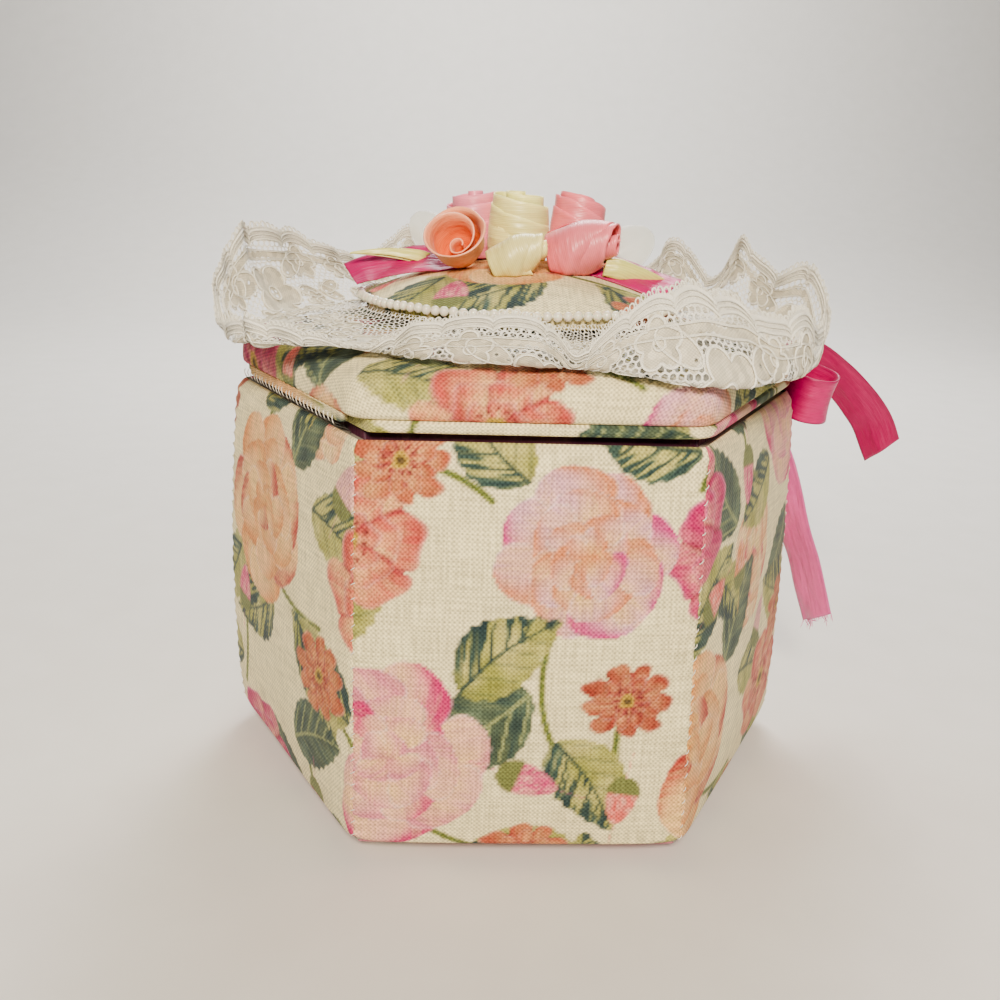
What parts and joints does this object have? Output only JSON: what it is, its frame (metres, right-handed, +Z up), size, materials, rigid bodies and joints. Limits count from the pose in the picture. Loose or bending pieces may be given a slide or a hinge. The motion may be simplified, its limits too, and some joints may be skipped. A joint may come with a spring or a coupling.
{
  "type": "keepsake box",
  "caption": "Hexagonal keepsake box in printed cotton; hinged padded lid with a lace ruffle, pearls, ribbon roses and a satin bow.",
  "frame": {"origin": "middle of the face that the box rests on", "axes": "+Z up, -Y out of the front facet, +X to the right of the front"},
  "size_m": [0.2046, 0.1448, 0.1483],
  "materials": {
    "print_cotton": "printed plain-weave cotton, loose flowers on cream",
    "greyboard": "grey bookbinder's board",
    "lining_satin": "deep plum acetate satin",
    "sewing_thread": "off-white sewing thread",
    "pearl": "moulded craft pearls with a soft lustre",
    "lace": "cream hexagonal-net lace with worked flowers and a scalloped edge",
    "peach_satin": "peach satin ribbon",
    "pink_satin": "pink satin ribbon",
    "yellow_satin": "pale yellow satin ribbon",
    "coral_satin": "coral pink satin ribbon",
    "cream_satin": "cream satin ribbon",
    "leaf_satin": "pale yellow-green satin ribbon",
    "organza": "sheer white organza ribbon",
    "rose_ribbon": "deep pink single-face satin ribbon",
    "pink_ribbon": "light pink satin ribbon, frayed at its end"
  },
  "bodies": {
    "box": {"base_board": "greyboard", "base_cover": "print_cotton", "floor_pad": "lining_satin", "hinge_stitches_box": "sewing_thread", "lining_panel_front": "lining_satin", "lining_panel_front_left": "lining_satin", "lining_panel_front_right": "lining_satin", "lining_panel_rear": "lining_satin", "lining_panel_rear_left": "lining_satin", "lining_panel_rear_right": "lining_satin", "seam_threads": "sewing_thread", "wall_board_front": "greyboard", "wall_board_front_left": "greyboard", "wall_board_front_right": "greyboard", "wall_board_rear": "greyboard", "wall_board_rear_left": "greyboard", "wall_board_rear_right": "greyboard", "wall_pad_front": "print_cotton", "wall_pad_front_left": "print_cotton", "wall_pad_front_right": "print_cotton", "wall_pad_rear": "print_cotton", "wall_pad_rear_left": "print_cotton", "wall_pad_rear_right": "print_cotton"},
    "lid": {"bow_knot": "rose_ribbon", "bow_loop_front": "rose_ribbon", "bow_loop_rear": "rose_ribbon", "bow_tail_dark": "rose_ribbon", "bow_tail_light": "pink_ribbon", "bud_cream": "cream_satin", "hinge_stitches_lid": "sewing_thread", "lace_ruffle": "lace", "leaf_left": "leaf_satin", "leaf_right": "leaf_satin", "lid_board": "greyboard", "lid_cover": "print_cotton", "lid_lining": "lining_satin", "lid_underboard": "print_cotton", "medallion_board": "greyboard", "medallion_dome": "print_cotton", "organza_leaf_left": "organza", "organza_leaf_right": "organza", "pearl_string": "pearl", "rose_coral": "coral_satin", "rose_peach": "peach_satin", "rose_pink": "pink_satin", "rose_salmon": "coral_satin", "rose_yellow": "yellow_satin", "streamer_left": "rose_ribbon", "streamer_right": "rose_ribbon"}
  },
  "joints": [
    {"name": "lid_hinge", "type": "hinge", "parent": "box", "child": "lid", "pos_m": [-0.05675, -0.03276, 0.09865], "axis": [0.5, -0.866, 0], "range_deg": [0, 105]}
  ]
}
